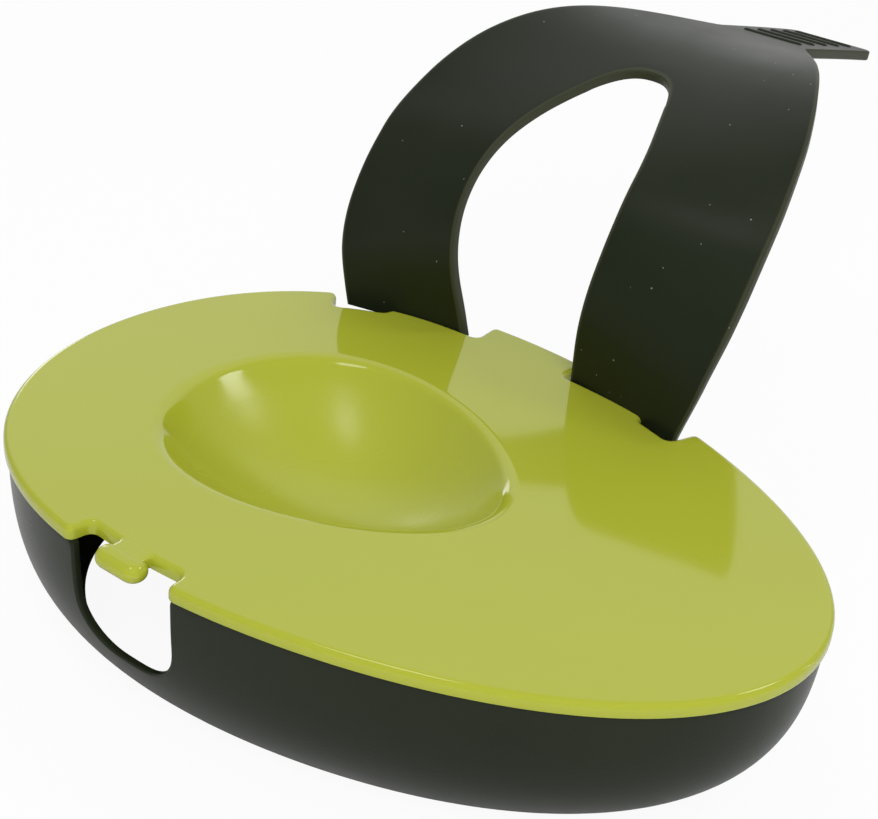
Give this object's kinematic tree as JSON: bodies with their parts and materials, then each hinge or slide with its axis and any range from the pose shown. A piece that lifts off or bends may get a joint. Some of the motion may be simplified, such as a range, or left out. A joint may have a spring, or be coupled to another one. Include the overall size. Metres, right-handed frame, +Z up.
{
  "type": "avocado saver",
  "caption": "Half-avocado keeper: a plate with a pit cup and a small T-hook on a shallow open-footed bowl, and a rubber strap with a teardrop opening and a pull tab.",
  "frame": {"origin": "middle of the whole part's box, at the foot that it stands on", "axes": "+X toward the plate's pointed end, +Y from the hook toward the strap, +Z up"},
  "size_m": [0.12, 0.171, 0.0683],
  "materials": {
    "lime": "gloss",
    "shell": "satin",
    "rubber": "satin"
  },
  "bodies": {
    "keeper": {"top_plate": "lime", "base_shell": "shell"},
    "strap": {"strap": "rubber"}
  },
  "joints": [
    {"name": "strap_swing", "type": "hinge", "parent": "keeper", "child": "strap", "pos_m": [-0.0116, -0.00587, 0.0236], "axis": [1, 0, 0], "range_deg": [-30, 18]}
  ]
}
